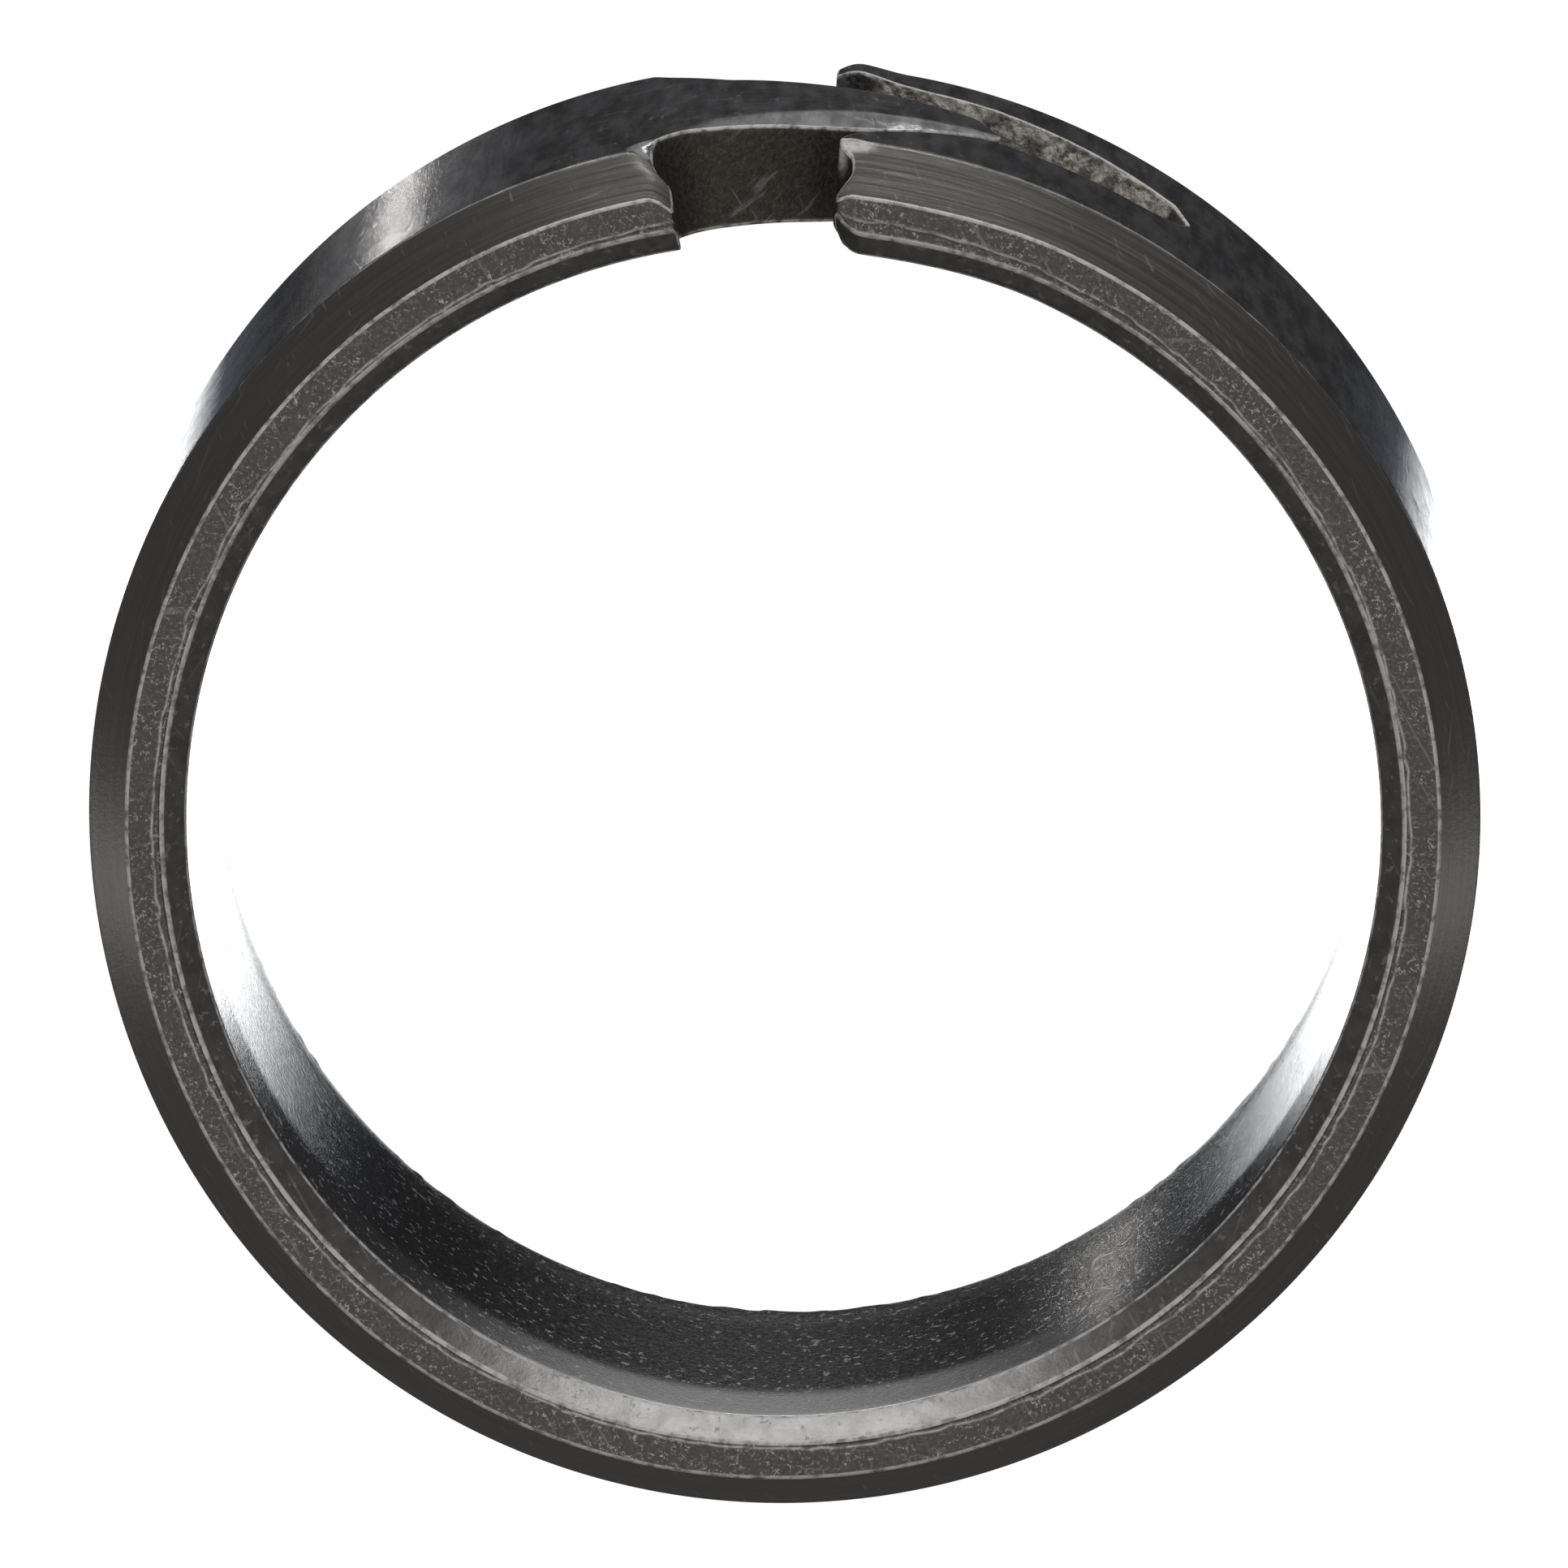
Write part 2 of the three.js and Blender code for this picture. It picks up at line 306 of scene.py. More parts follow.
def band(points, normals, arm):
    """Rows of points across the wall: over its outer edge, along its thickness, over its bore edge.

    Also the same points moved in by the edge's radius, which border the sheets, and the masks.
    """
    s, z = points[:, 0], points[:, 1]
    deg = np.degrees(s / OUTER)
    floor = smooth(-normals[:, 1], 0.7, 0.95) * smooth(z, 0.3, 0.05)
    edge = EDGE + (REAR_EDGE - EDGE) * floor
    on_land = smooth(normals[:, 1], 0.75, 0.97) * smooth(z, WIDTH - 0.3, WIDTH - 0.05)
    sheet = points - normals * edge[:, None]
    sheet_deg = np.degrees(sheet[:, 0] / OUTER)
    rows, marks = [], []
    wall = np.clip(1 - on_land - floor, 0, 1)
    # The slot's rear wall was left rough by the cutter.
    raw = wall * smooth(normals[:, 1], 0.3, 0.7) * smooth(z, 5.2, 4.6) * (arm == "slot")

    def mark(*values):
        """The masks of one row, in the order of MASKS."""
        marks.append(np.stack([value + 0 * s for value in values], axis=-1))

    def quad(a, b, c, t):
        return (1 - t) ** 2 * a + 2 * t * (1 - t) * b + t * t * c

    ro_sheet = outer_radius(sheet_deg, sheet[:, 1], arm)
    ro = outer_radius(deg, z, arm)
    ri_sheet = inner_radius(sheet_deg, sheet[:, 1], arm)
    ri = inner_radius(deg, z, arm)
    for k in range(ROUND_ROWS):
        a = place(sheet_deg, ro_sheet, sheet[:, 1])
        b = place(deg, ro, z)
        c = place(deg, ro - edge, z)
        rows.append(quad(a, b, c, k / ROUND_ROWS))
        # The rounded outer edge is marked for worn steel with a painted highlight line.
        mark(float(k > 0), 0.0, 0.0, 0.0)
    strip = STRIP_RADIUS
    for size, cells, seed in STRIP_WOBBLES:
        strip = strip + size * wobble(deg, cells, seed)
    for size, at, width in STRIP_DENTS:
        strip = strip + size * bell(deg, at, width)
    for t in WALL_ROWS:
        r = (ro - edge) * (1 - t) + (ri + edge) * t
        below = smooth(strip - r, -0.02, 0.07) * smooth(r - ri - edge, -0.01, 0.05)
        slanted = deg + 3 * (r - 13.9)
        torn = TEETH[0] * wobble(slanted, *TEETH[1:])
        torn = torn + GRAIN[0] * grain(deg * GRAIN[1], r * GRAIN[2], GRAIN[3])
        sink = on_land * STRIP_DROP * below + raw * torn
        rows.append(place(np.degrees((s - normals[:, 0] * sink) / OUTER), r, z - normals[:, 1] * sink))
        # The ridge and the wall's two edges get a painted highlight line, partly real wear.
        ridge = on_land * bell(r, strip + 0.01, RIDGE_WIDTH)
        near_edge = max(bell(t, 0, 0.012), bell(t, 1, 0.01))
        mark(np.maximum(ridge, near_edge), wall + raw, on_land, 0.0)
    for k in range(1, ROUND_ROWS + 1):
        a = place(deg, ri + edge, z)
        b = place(deg, ri, z)
        c = place(sheet_deg, ri_sheet, sheet[:, 1])
        rows.append(quad(a, b, c, k / ROUND_ROWS))
        # The rounded bore edge is marked for worn steel with a painted highlight line too.
        mark(float(k < ROUND_ROWS), 0.0, 0.0, 1.0)
    return np.array(rows), sheet, np.array(marks)


def normals_of(points):
    """Outward normals of a path that runs clockwise. They point along z at both of its ends."""
    tangent = np.gradient(points, axis=0)
    tangent /= np.linalg.norm(tangent, axis=1)[:, None]
    n = np.stack([-tangent[:, 1], tangent[:, 0]], axis=1)
    n[0] = n[-1] = 0
    n[0, 1] = math.copysign(1, tangent[0, 0])
    n[-1, 1] = math.copysign(1, tangent[-1, 0])
    return n


# ---------------------------------------------------------------- mesh building

# What the material reads at each point: worn edges with painted highlight lines, walls of the gap,
# the front land, the bore.
MASKS = ("wear_and_highlight", "wall", "land", "inside")
SLOT_SIDE, TONGUE_SIDE = 0, 1

verts, faces, sides, tags = [], [], [], []


def add_grid(rows, side, marks):
    """Quads over rows of points; rows is an array of shape (n, m, 3)."""
    n, m = rows.shape[:2]
    base = len(verts)
    verts.extend(rows.reshape(-1, 3))
    tags.extend(marks.reshape(-1, len(MASKS)))
    for i in range(n - 1):
        for j in range(m - 1):
            a = base + i * m + j
            b = base + (i + 1) * m + j
            faces.append((a, b, b + 1, a + 1))
            sides.append(side)


def levels(lo, hi):
    """Heights of the rows over a sheet, close together at the creases of the section."""
    smallest, largest = 0.012, 0.25
    heights = [lo, lo + 0.03, lo + 0.1, hi - 0.1, hi - 0.03, hi]
    for crease in (CHAMFER_Z, BEVEL_Z, TAPER_Z):
        heights += [crease + d for d in (-0.2, -0.1, -0.05, -0.02, 0.02, 0.05, 0.1, 0.2)]
    heights = sorted(h for h in heights if lo - 1e-9 <= h <= hi + 1e-9)
    out = [heights[0]]
    for height in heights[1:]:
        start = out[-1]
        gap = height - start
        if gap < smallest:
            continue
        count = max(1, int(math.ceil(gap / largest)))
        out += [start + gap * k / count for k in range(1, count + 1)]
    out[-1] = hi
    return np.array(out)


LEVELS = levels(REAR_EDGE, WIDTH - EDGE)


def plain_half(start, end, side):
    """The ring between two angles, away from the joint, as one grid round its section."""
    deg = np.linspace(start, end, PLAIN_COLUMNS + 1)
    s = np.radians(deg) * OUTER
    top, under = np.stack([s, 0 * s + WIDTH], 1), np.stack([s, 0 * s], 1)
    up, down = np.tile([0.0, 1.0], (len(s), 1)), np.tile([0.0, -1.0], (len(s), 1))
    over, _, over_tags = band(top, up, None)
    beneath, _, beneath_tags = band(under, down, None)
    level = [z + 0 * deg for z in LEVELS]
    outer = np.array([place(deg, outer_radius(deg, z, None), z) for z in level])
    inner = np.array([place(deg, inner_radius(deg, z, None), z) for z in level])
    outer_tags = np.zeros(outer.shape[:2] + (len(MASKS),))
    inner_tags = outer_tags + np.array([0, 0, 0, 1.0])
    loop = np.concatenate([outer, over[1:-1], inner[::-1], beneath[::-1][1:-1], outer[:1]])
    marks = [outer_tags, over_tags[1:-1], inner_tags, beneath_tags[::-1][1:-1], outer_tags[:1]]
    add_grid(loop, side, np.concatenate(marks))


def inside(points, polygon):
    """Which points lie inside the polygon."""
    x, y = points[:, 0], points[:, 1]
    hit = np.zeros(len(points), bool)
    px, py = polygon[:, 0], polygon[:, 1]
    qx, qy = np.roll(px, -1), np.roll(py, -1)
    for ax, ay, bx, by in zip(px, py, qx, qy):
        cross = (ay > y) != (by > y)
        with np.errstate(divide="ignore", invalid="ignore"):
            at = (bx - ax) * (y - ay) / (by - ay) + ax
        hit ^= cross & (x < at)
    return hit


def clear_of(points, polygon, gap):
    """Which points are further than gap from every corner of the polygon."""
    keep = np.ones(len(points), bool)
    chunk = 400
    for lo in range(0, len(points), chunk):
        part = points[lo : lo + chunk, None] - polygon[None]
        keep[lo : lo + chunk] = np.linalg.norm(part, axis=2).min(axis=1) > gap
    return keep


def row_shift(z):
    """A share of a step, from 0 to 6/7, that differs from row to row."""
    return (int(round(z * 1000)) * 7919 % 7) / 7


def sheet_mesh(border, radius, arm, side, lines):
    """The outer or bore surface inside a border, as triangles."""
    lo_s, hi_s = border[:, 0].min(), border[:, 0].max()
    inner = []
    for z in lines:
        gap = np.sort(np.abs(lines - z))[1]
        step = SHEET_STEP if gap > 0.08 else FINE_STEP
        count = int((hi_s - lo_s) / step) + 1
        inner += [(lo_s + row_shift(z) * step + k * step, z) for k in range(count)]
    inner = np.array(inner)
    inner = inner[inside(inner, border)]
    inner = inner[clear_of(inner, border, SHEET_CLEARANCE)]
    # A row of points just inside the border keeps the triangles there even.
    tangent = np.roll(border, -1, axis=0) - np.roll(border, 1, axis=0)
    tangent /= np.linalg.norm(tangent, axis=1)[:, None]
    row = border - np.stack([-tangent[:, 1], tangent[:, 0]], axis=1) * ROW_INSET
    row = row[inside(row, border)]
    row = row[clear_of(row, border, ROW_CLEARANCE)]
    points = np.concatenate([border, row, inner])
    result = geometry.delaunay_2d_cdt(
        [Vector(p) for p in points], [], [list(range(len(border)))], 1, 1e-7
    )
    out, tris, origin = result[0], result[2], result[3]
    flat = np.array([tuple(v) for v in out])
    for i, ids in enumerate(origin):
        if ids:
            flat[i] = points[ids[0]]
    deg = np.degrees(flat[:, 0] / OUTER)
    base = len(verts)
    verts.extend(place(deg, radius(deg, flat[:, 1], arm), flat[:, 1]))
    tags.extend(np.tile([0, 0, 0, float(radius is inner_radius)], (len(flat), 1)))
    for t in tris:
        faces.append(tuple(base + k for k in t))
        sides.append(side)


def joint_end(path, arm, side):
    """The end of one arm: its band round the outline, and the sheets inside it."""
    points = evenly(eased(path, EASE), OUTLINE_STEP)
    points[0], points[-1] = path[0], path[-1]
    rows, sheet, marks = band(points, normals_of(points), arm)
    add_grid(rows, side, marks)
    closing = LEVELS[1:-1] if arm == "tongue" else LEVELS[1:-1][::-1]
    close_s = -REACH if arm == "tongue" else REACH
    border = np.concatenate([sheet, np.stack([0 * closing + close_s, closing], axis=1)])
    lines = np.array(sorted(set(np.round(LEVELS, 5))))
    sheet_mesh(border, outer_radius, arm, side, lines)
    sheet_mesh(border, inner_radius, arm, side, lines)


plain_half(JOINT_HALF, 180.0, SLOT_SIDE)
plain_half(180.0, 360.0 - JOINT_HALF, TONGUE_SIDE)
joint_end(tongue_path, "tongue", TONGUE_SIDE)
joint_end(slot_path, "slot", SLOT_SIDE)

# ---------------------------------------------------------------- one closed ring, then two halves


def whole_ring():
    """The whole skin, welded. Its faces remember their side, and its points their masks."""
    bm = bmesh.new()
    for name in MASKS:
        bm.verts.layers.float.new(name)
    bm.faces.layers.int.new("side")
    masks = [bm.verts.layers.float[name] for name in MASKS]
    layer = bm.faces.layers.int["side"]
    made = [bm.verts.new(v) for v in verts]
    for vert, values in zip(made, tags):
        for mask, value in zip(masks, values):
            vert[mask] = value
    for f, side in zip(faces, sides):
        if len({tuple(np.round(verts[k], 7)) for k in f}) < len(f):
            continue
        face = bm.faces.new([made[k] for k in f])
        face[layer] = side
    bmesh.ops.remove_doubles(bm, verts=bm.verts, dist=WELD)
    bmesh.ops.recalc_face_normals(bm, faces=bm.faces)
    open_edges = sum(1 for e in bm.edges if len(e.link_faces) != 2)
    print("ring:", len(bm.verts), "points,", len(bm.faces), "faces,", open_edges, "open edges")
    bm.normal_update()
    return bm, layer


def seam_loop(seam):
    """The points of a closed chain of edges, in order."""
    following = {}
    for a, b in seam:
        following.setdefault(a, []).append(b)
        following.setdefault(b, []).append(a)
    loop, last = [seam[0][0]], None
    while True:
        nxt = [k for k in following[loop[-1]] if k != last][0]
        last = loop[-1]
        if nxt == loop[0]:
            return loop
        loop.append(nxt)


def half_object(name, bm, layer, side):
    """The faces of one side, closed at the middle of the back, with the whole ring's normals."""
    index = {}
    points, normals, polygons, values = [], [], [], []
    masks = [bm.verts.layers.float[m] for m in MASKS]
    seam = []
    for f in bm.faces:
        if f[layer] != side:
            continue
        ids = []
        for v in f.verts:
            if v not in index:
                index[v] = len(points)
                points.append(v.co.copy())
                normals.append(v.normal.copy())
                values.append([v[m] for m in masks])
            ids.append(index[v])
        polygons.append(ids)
        for e in f.edges:
            if any(g[layer] != side for g in e.link_faces):
                seam.append((index[e.verts[0]], index[e.verts[1]]))
    loop = seam_loop(seam)
    flat = [Vector((math.hypot(points[k].x, points[k].y), points[k].z)) for k in loop]
    area = sum(a.x * b.y - b.x * a.y for a, b in zip(flat, flat[1:] + flat[:1]))
    # Seen along the cap's outward direction, the loop has to run anticlockwise.
    if (area > 0) == (side == TONGUE_SIDE):
        loop.reverse()
    polygons.append(loop)
    mesh = bpy.data.meshes.new(name)
    mesh.from_pydata([p * MM for p in points], [], polygons)
    obj = bpy.data.objects.new(name, mesh)
    bpy.context.scene.collection.objects.link(obj)
    loops = [None] * len(mesh.loops)
    for p in mesh.polygons:
        p.use_smooth = True
        for k in p.loop_indices:
            loops[k] = normals[mesh.loops[k].vertex_index]
    cap = mesh.polygons[-1]
    for k in cap.loop_indices:
        loops[k] = cap.normal
    mesh.normals_split_custom_set([tuple(n) for n in loops])
    rest = mesh.attributes.new("rest", "FLOAT_VECTOR", "POINT")
    rest.data.foreach_set("vector", np.array([tuple(p) for p in points], np.float32).ravel())
    values = np.array(values, np.float32)
    for k, m in enumerate(MASKS):
        mesh.attributes.new(m, "FLOAT", "POINT").data.foreach_set("value", values[:, k])
    return obj


ring_mesh, side_layer = whole_ring()
slot_half = half_object("collar_slot_half", ring_mesh, side_layer, SLOT_SIDE)
tongue_half = half_object("collar_tongue_half", ring_mesh, side_layer, TONGUE_SIDE)
ring_mesh.free()

for half, arm in ((tongue_half, "tongue_arm"), (slot_half, "slot_arm")):
    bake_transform(half, "back_arc", arm, start=(0, -0.0105, 0), end=(0, -0.0034, 0))
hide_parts("tongue_arm", "back_arc")
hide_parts("slot_arm")

# ---------------------------------------------------------------- material


class Graph:
    """Short names for the nodes that the steel is made of."""

    def __init__(self, tree):
        self.tree = tree

    def make(self, kind, **props):
        made = self.tree.nodes.new(kind)
        for key, value in props.items():
            setattr(made, key, value)
        return made

    def feed(self, socket, value):
        if isinstance(value, bpy.types.NodeSocket):
            self.tree.links.new(value, socket)
        elif value is not None:
            socket.default_value = value

    def math(self, op, a, b=None, clamp=False):
        made = self.make("ShaderNodeMath", operation=op, use_clamp=clamp)
        self.feed(made.inputs[0], a)
        self.feed(made.inputs[1], b)
        return made.outputs[0]

    def add(self, a, b):
        return self.math("ADD", a, b)

    def mul(self, a, *others):
        for b in others:
            a = self.math("MULTIPLY", a, b)
        return a

    def invert(self, a):
        return self.math("SUBTRACT", 1.0, a)

    def vec(self, x, y, z):
        made = self.make("ShaderNodeCombineXYZ")
        for socket, value in zip(made.inputs, (x, y, z)):
            self.feed(socket, value)
        return made.outputs[0]

    def scaled(self, vector, factors):
        made = self.make("ShaderNodeVectorMath", operation="MULTIPLY")
        self.feed(made.inputs[0], vector)
        made.inputs[1].default_value = factors
        return made.outputs[0]

    def noise(self, vector, detail=2.0, rough=0.5, distortion=0.0):
        made = self.make("ShaderNodeTexNoise")
        self.feed(made.inputs["Vector"], vector)
        made.inputs["Scale"].default_value = 1.0
        made.inputs["Detail"].default_value = detail
        made.inputs["Roughness"].default_value = rough
        made.inputs["Distortion"].default_value = distortion
        return made.outputs["Fac"]

    def rise(self, value, lo, hi, to_lo=0.0, to_hi=1.0):
        """Maps lo..hi to to_lo..to_hi, eased and clamped."""
        made = self.make("ShaderNodeMapRange", interpolation_type="SMOOTHSTEP")
        names = ("Value", "From Min", "From Max", "To Min", "To Max")
        for name, given in zip(names, (value, lo, hi, to_lo, to_hi)):
            self.feed(made.inputs[name], given)
        return made.outputs["Result"]

    def between(self, value, a, b, c, d):
        """Rises from a to b and falls from c to d."""
        return self.mul(self.rise(value, a, b), self.rise(value, d, c))

    def mix(self, factor, a, b):
        made = self.make("ShaderNodeMix", data_type="FLOAT")
        self.feed(made.inputs[0], factor)
        self.feed(made.inputs[2], a)
        self.feed(made.inputs[3], b)
        return made.outputs[0]

    def blend(self, factor, a, b):
        made = self.make("ShaderNodeMix", data_type="RGBA")
        self.feed(made.inputs[0], factor)
        self.feed(made.inputs[6], a)
        self.feed(made.inputs[7], b)
        return made.outputs[2]

    def tint(self, colour, amount):
        """The colour times a number."""
        made = self.make("ShaderNodeVectorMath", operation="SCALE")
        self.feed(made.inputs[0], colour)
        self.feed(made.inputs["Scale"], amount)
        return made.outputs[0]


# Base colours, as RGBA for one that is blended in and as RGB for one that is varied first.
HAZED_CYLINDER, RUBBED = (0.23, 0.228, 0.235), (0.55, 0.55, 0.57, 1)
TURNED_CHAMFER = (0.235, 0.224, 0.212)
SANDY_BORE, FLECK = (0.11, 0.107, 0.105), (0.8, 0.79, 0.78, 1)
PALE_MOUTH, PALE_BEVEL = (0.55, 0.545, 0.54, 1), (0.275, 0.27, 0.265)
MOTTLED_LAND, WORM = (0.17, 0.165, 0.16), (0.8, 0.8, 0.79, 1)
BROWN_WALL, TORN_WALL = (0.1, 0.088, 0.076), (0.82, 0.77, 0.71)
SPECK, SCRATCH = (0.6, 0.6, 0.59, 1), (0.5, 0.5, 0.5, 1)
# The pale colour of the worn edges is partly a painted highlight.
WORN_EDGE_AND_HIGHLIGHT = (0.85, 0.84, 0.82, 1)

# Between these heights the sandy bore turns into the pale mouth.
MOUTH_FROM, MOUTH_TO = WIDTH - 2.9, WIDTH - 1.9


def steel_material():
    """Places are in millimetres at rest, so a noise's scale is its cells in a millimetre."""
    m = bpy.data.materials.new("blackened_steel")
    m.use_nodes = True
    g = Graph(m.node_tree)
    shader = m.node_tree.nodes["Principled BSDF"]
    rest = g.make("ShaderNodeAttribute", attribute_name="rest").outputs["Vector"]
    wear_and_highlight, wall_and_raw, land, bore = (
        g.make("ShaderNodeAttribute", attribute_name=name).outputs["Fac"] for name in MASKS
    )
    split = g.make("ShaderNodeSeparateXYZ")
    g.feed(split.inputs[0], rest)
    x, y, z = split.outputs
    r = g.math("SQRT", g.add(g.mul(x, x), g.mul(y, y)))

    # The surfaces of the section.
    outside = g.invert(bore)
    chamfer = g.mul(g.rise(z, CHAMFER_Z - 0.02, CHAMFER_Z + 0.03), outside)
    bevel = g.mul(g.rise(z, BEVEL_Z - 0.03, BEVEL_Z + 0.03), bore)
    mouth = g.mul(g.rise(z, MOUTH_FROM, MOUTH_TO), bore)
    rear = g.mul(g.rise(z, 3.0, 0.4), bore)
    raw = g.rise(wall_and_raw, 1.2, 1.8)
    wall = g.math("MINIMUM", wall_and_raw, 1.0)
    ends = g.mul(g.rise(y, 9.0, 14.0), g.rise(x, -7.0, -3.5))

    # Unevenness of every size, and the lines that turning and facing leave.
    fine = g.noise(g.scaled(rest, (9, 9, 9)), 4, 0.65)
    grit = g.noise(g.scaled(rest, (18, 18, 18)), 2, 0.6)
    drawn = g.noise(g.scaled(rest, (8, 8, 1.7)), 3, 0.62)
    haze = g.noise(g.scaled(rest, (2.2, 2.2, 0.45)), 4, 0.6)
    blotch = g.noise(g.scaled(rest, (1.3, 1.3, 1.3)), 3, 0.55)
    cloud = g.noise(g.scaled(rest, (0.45, 0.45, 0.45)), 2, 0.5)
    patch = g.noise(g.scaled(rest, (1.7, 3, 3)), 3, 0.65)
    sand = g.noise(g.scaled(rest, (9, 9, 6)), 3, 0.75)
    turned = g.noise(g.scaled(rest, (0.22, 0.22, 14.0)), 4, 0.7)
    faced = g.noise(g.vec(g.mul(x, 0.3), g.mul(y, 0.3), g.mul(r, 16.0)), 3, 0.65)

    # Marks: scratches that lean two ways, rubbed streaks, specks, flecks and curled worms.
    leaning = g.vec(g.add(g.mul(x, 9.0), g.mul(y, 5.0)), g.mul(y, 0.5), g.mul(z, 1.6))
    crossing = g.vec(g.mul(x, 0.7), g.add(g.mul(z, 11.0), g.mul(y, 4.0)), g.mul(y, 0.7))
    scratches = g.math(
        "MAXIMUM",
        g.rise(g.noise(leaning, 2, 0.5), 0.65, 0.73),
        g.rise(g.noise(crossing, 2, 0.5), 0.66, 0.74),
    )
    streaks = g.noise(g.scaled(rest, (1.1, 1.1, 2.6)), 3, 0.7)
    rubbed = g.mul(g.rise(streaks, 0.55, 0.7), g.rise(blotch, 0.35, 0.6))
    specks = g.rise(grit, 0.64, 0.74)
    spots = g.noise(g.scaled(rest, (4.6, 4.6, 3.4)), 2, 0.75)
    flecks = g.mul(g.rise(spots, 0.6, 0.66), g.rise(cloud, 0.3, 0.55, 0.5, 1.0))
    vein = g.math("ABSOLUTE", g.add(g.noise(g.scaled(rest, (5, 5, 5)), 3, 0.6, 0.6), -0.5))
    broken = g.mul(g.rise(fine, 0.48, 0.55), g.rise(blotch, 0.42, 0.58, 0.25, 1.0))
    worms = g.mul(g.rise(vein, 0.03, 0.006), broken)

    # Worn steel with painted highlight lines: along the edges, at the two creases, and on the burr at
    # the jaw's corner.
    lip = g.between(z, BEVEL_Z - 0.04, BEVEL_Z - 0.01, BEVEL_Z + 0.02, BEVEL_Z + 0.05)
    brow = g.between(z, CHAMFER_Z - 0.04, CHAMFER_Z - 0.01, CHAMFER_Z + 0.01, CHAMFER_Z + 0.04)
    brow = g.mul(brow, outside, g.rise(blotch, 0.5, 0.7, 0.1, 0.8))
    burr = g.mul(g.between(x, 1.1, 1.3, 1.8, 2.2), g.rise(y, 14.0, 14.5), outside)
    burr = g.mul(burr, g.between(z, 9.45, 9.6, 9.85, 10.05))
    worn_and_highlit = g.math("MAXIMUM", g.mul(lip, bore), brow)
    worn_and_highlit = g.math("MAXIMUM", wear_and_highlight, g.math("MAXIMUM", worn_and_highlit, burr))
    gaps = g.rise(g.noise(g.scaled(rest, (4, 4, 4)), 3, 0.6), 0.3, 0.6, 0.2, 1.0)
    ragged_wear_and_highlight = g.math("MULTIPLY", worn_and_highlit, gaps, clamp=True)

    # Colour, one surface over the other.
    colour = g.tint(HAZED_CYLINDER, g.rise(haze, 0.35, 0.68, 0.6, 1.7))
    colour = g.blend(g.mul(rubbed, 0.5), colour, RUBBED)
    lines = g.rise(turned, 0.3, 0.75, g.mix(ends, 0.88, 0.8), g.mix(ends, 1.12, 1.85))
    colour = g.blend(chamfer, colour, g.tint(TURNED_CHAMFER, lines))
    colour = g.blend(bore, colour, g.tint(SANDY_BORE, g.rise(sand, 0.36, 0.66, 0.2, 2.6)))
    colour = g.blend(g.mul(bore, flecks, 0.8), colour, FLECK)
    colour = g.blend(mouth, colour, PALE_MOUTH)
    colour = g.blend(bevel, colour, g.tint(PALE_BEVEL, g.rise(haze, 0.3, 0.7, 0.85, 1.2)))
    colour = g.blend(land, colour, g.tint(MOTTLED_LAND, g.rise(fine, 0.3, 0.68, 0.85, 1.15)))
    colour = g.blend(g.mul(land, worms, 0.85), colour, WORM)
    colour = g.blend(wall, colour, g.tint(BROWN_WALL, g.rise(fine, 0.3, 0.7, 0.7, 1.4)))
    torn = g.mul(g.rise(fine, 0.32, 0.62, 0.45, 1.15), g.rise(patch, 0.4, 0.58, 0.35, 1.1))
    torn = g.mul(torn, g.rise(x, 1.3, 2.6, 0.3, 1.0))
    colour = g.blend(raw, colour, g.tint(TORN_WALL, torn))
    colour = g.blend(g.mul(specks, g.mix(land, 0.2, 0.6)), colour, SPECK)
    colour = g.blend(g.mul(scratches, 0.4), colour, SCRATCH)
    # Painted highlight lines, partly real wear, over the edges, the creases and the burr.
    colour = g.blend(ragged_wear_and_highlight, colour, WORN_EDGE_AND_HIGHLIGHT)
    g.feed(shader.inputs["Base Color"], colour)

    # Oxide, flecks, worms and the worn edges reflect less like bare metal, so the edges' pale painted
    # highlight shows from every side.
    metal = g.mix(g.mul(outside, g.invert(chamfer)), 1.0, 0.72)
    metal = g.mix(g.mul(bore, flecks), metal, 0.3)
    metal = g.mix(g.mul(land, worms), metal, 0.4)
    g.feed(shader.inputs["Metallic"], g.mix(ragged_wear_and_highlight, metal, 0.35))

    cylinder = g.rise(blotch, 0.3, 0.7, 0.07, 0.12)
    rough = g.mix(outside, g.mix(rear, 0.14, 0.27), cylinder)
    for mask, value in ((chamfer, 0.34), (mouth, 0.14), (bevel, 0.33), (land, 0.42), (wall, 0.5)):
        rough = g.mix(mask, rough, value)
    rough = g.add(rough, g.mul(scratches, 0.1))
    g.feed(shader.inputs["Roughness"], g.mix(ragged_wear_and_highlight, rough, 0.55))

    # The height of the bumps, in millimetres.
    height = g.mul(turned, g.mix(chamfer, 0.002, g.mix(ends, 0.003, 0.008)))
    height = g.mix(land, height, g.add(g.mul(faced, 0.004), g.mul(fine, 0.008)))
    height = g.add(height, g.mul(fine, 0.004))
    height = g.add(height, g.mul(drawn, g.invert(land), g.mix(bore, 0.004, 0.002)))
    height = g.add(height, g.mul(sand, bore, g.mix(mouth, 0.008, 0.002)))
    height = g.add(height, g.mul(wall, g.mul(fine, 0.03)))
    bump = g.make("ShaderNodeBump")
    bump.inputs["Strength"].default_value = 1.0
    bump.inputs["Distance"].default_value = MM
    g.feed(bump.inputs["Height"], height)
    g.feed(shader.inputs["Normal"], bump.outputs[0])
    return m


steel = steel_material()
for half in (tongue_half, slot_half):
    half.data.materials.append(steel)

# ---------------------------------------------------------------- camera

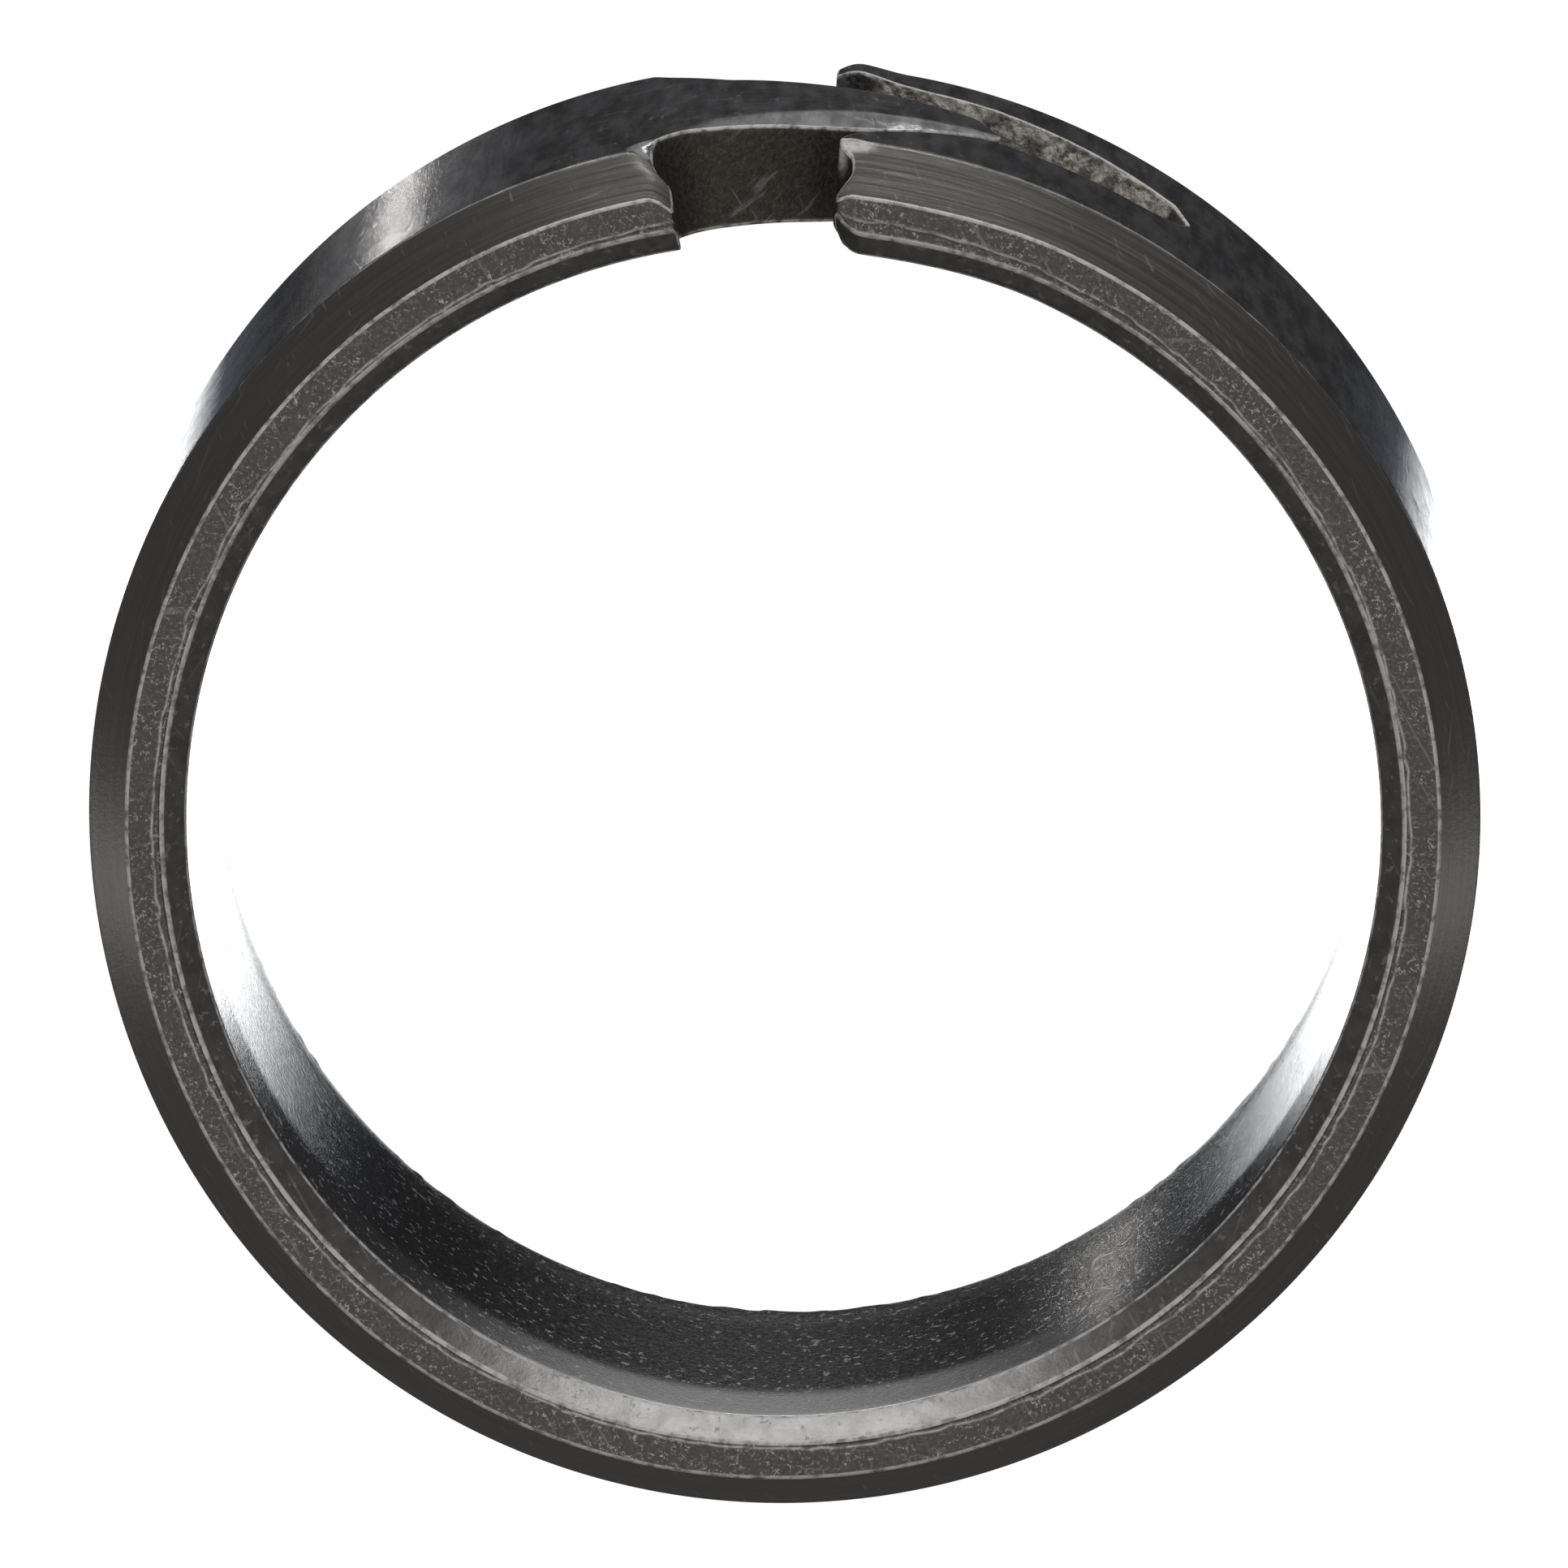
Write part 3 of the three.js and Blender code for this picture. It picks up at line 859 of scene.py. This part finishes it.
# The camera looks down at the front face, tilted and turned from the axis by these angles. It aims
# beside the middle of that face by small shares of the distance, to the right and up.
TILT, TURN, DISTANCE = math.radians(11.13), math.radians(7.57), 0.5273
AIM_RIGHT, AIM_UP = 0.00012367, 0.00205614
LENS, SENSOR = 563.5, 36
sin, cos = math.sin, math.cos
sight = Vector((sin(TILT) * sin(TURN), sin(TILT) * cos(TURN), cos(TILT)))
side_way = Vector((cos(TURN), -sin(TURN), 0))
up_way = Vector((cos(TILT) * sin(TURN), cos(TILT) * cos(TURN), -sin(TILT)))
right = side_way * cos(TURN) + up_way * sin(TURN)
up = -side_way * sin(TURN) + up_way * cos(TURN)
look = (-sight + right * AIM_RIGHT + up * AIM_UP).normalized()
right = look.cross(up).normalized()
up = right.cross(look)
camera = bpy.data.objects.new("camera", bpy.data.cameras.new("camera"))
camera.data.lens = LENS
camera.data.sensor_width = SENSOR
camera.data.clip_start, camera.data.clip_end = 0.05, 20
camera.location = Vector((0, 0, WIDTH * MM)) + sight * DISTANCE
camera.rotation_mode = "QUATERNION"
camera.rotation_quaternion = Matrix((right, up, -look)).transposed().to_quaternion()
bpy.context.scene.collection.objects.link(camera)
bpy.context.scene.camera = camera

# ---------------------------------------------------------------- floor, backdrop and lights


def backdrop_material():
    m = bpy.data.materials.new("pale_backdrop")
    m.use_nodes = True
    nodes = m.node_tree.nodes
    nodes.clear()
    glow = nodes.new("ShaderNodeEmission")
    glow.inputs["Color"].default_value = (1, 1, 1, 1)
    glow.inputs["Strength"].default_value = 1.0
    out = nodes.new("ShaderNodeOutputMaterial")
    m.node_tree.links.new(glow.outputs[0], out.inputs[0])
    return m


def camera_only(obj):
    obj.visible_diffuse = obj.visible_glossy = obj.visible_transmission = False
    obj.visible_volume_scatter = obj.visible_shadow = False


ROOM_RADIUS, FLOOR_Z = 1.2, -0.0002
pale = backdrop_material()
for name in ("floor", "dome"):
    bm = bmesh.new()
    if name == "floor":
        bmesh.ops.create_circle(bm, cap_ends=True, segments=96, radius=ROOM_RADIUS)
    else:
        bmesh.ops.create_uvsphere(bm, u_segments=64, v_segments=32, radius=ROOM_RADIUS)
    data = bpy.data.meshes.new(name)
    bm.to_mesh(data)
    bm.free()
    data.materials.append(pale)
    staged = bpy.data.objects.new(name, data)
    bpy.context.scene.collection.objects.link(staged)
    staged.location.z = FLOOR_Z if name == "floor" else 0
    camera_only(staged)


def panel(name, direction, distance, size, radiance, colour):
    """A rectangular light that faces the ring. Its power is pi times its radiance and its area."""
    light = bpy.data.lights.new(name, "AREA")
    light.shape = "RECTANGLE"
    light.size, light.size_y = size
    light.energy = math.pi * radiance * (size[0] * size[1])
    light.color = colour
    obj = bpy.data.objects.new(name, light)
    d = Vector(direction).normalized()
    obj.location = d * distance
    obj.rotation_mode = "QUATERNION"
    obj.rotation_quaternion = d.to_track_quat("Z", "Y")
    obj.visible_camera = False
    bpy.context.scene.collection.objects.link(obj)


# The sheet lies below the ring, and the steep walls reflect it. The low panels light the chamfer
# and the mouth, and the soft boxes light the sides.
WHITE = (1, 1, 1)
LAMP = (-0.101, 0.026, -0.535)
panel("pale_sheet", (0, -0.083, -0.4), 0.4085, (0.22, 0.07), 2.7, (0.98, 0.99, 1.0))
panel("sheet_rim", (0, -0.08, -0.4), 0.42, (0.26, 0.096), 0.16, (0.7, 0.85, 1.0))
panel("small_lamp", LAMP, 0.545, (0.0075, 0.013), 9.0, (1.0, 0.96, 0.93))
panel("lamp_halo", LAMP, 0.55, (0.055, 0.04), 0.2, (0.97, 0.98, 1.0))
panel("low_back_panel", (0, 0.53, -0.848), 2.0, (2.0, 1.15), 0.4, WHITE)
panel("edge_strip", (0, 0.72, -0.69), 2.0, (1.2, 0.16), 5.0, WHITE)
panel("back_softbox", (0, 0.95, 0.31), 1.6, (1.7, 0.5), 2.8, WHITE)
panel("left_softbox", (-0.842, -0.262, -0.471), 1.6, (0.22, 0.3), 1.5, WHITE)
panel("right_softbox", (0.856, -0.284, -0.43), 1.6, (0.22, 0.3), 1.5, WHITE)

# The room is dark below, grey at the sides and pale above.
world = bpy.data.worlds.new("room")
bpy.context.scene.world = world
world.use_nodes = True
room = Graph(world.node_tree)
heading = room.make("ShaderNodeSeparateXYZ")
room.feed(heading.inputs[0], room.make("ShaderNodeTexCoord").outputs["Generated"])
low = room.rise(heading.outputs[2], -0.93, -0.66)
high = room.rise(heading.outputs[2], 0.45, 0.85)
BELOW, AROUND, ABOVE = (0.024, 0.024, 0.026, 1), (0.13, 0.127, 0.123, 1), (0.42, 0.415, 0.405, 1)
room_colour = room.blend(high, room.blend(low, BELOW, AROUND), ABOVE)
room.feed(world.node_tree.nodes["Background"].inputs["Color"], room_colour)
world.node_tree.nodes["Background"].inputs["Strength"].default_value = 1.0
bpy.context.scene.view_settings.view_transform = "Standard"
bpy.context.scene.view_settings.look = "None"

# ---------------------------------------------------------------- the end

bpy.context.view_layer.update()
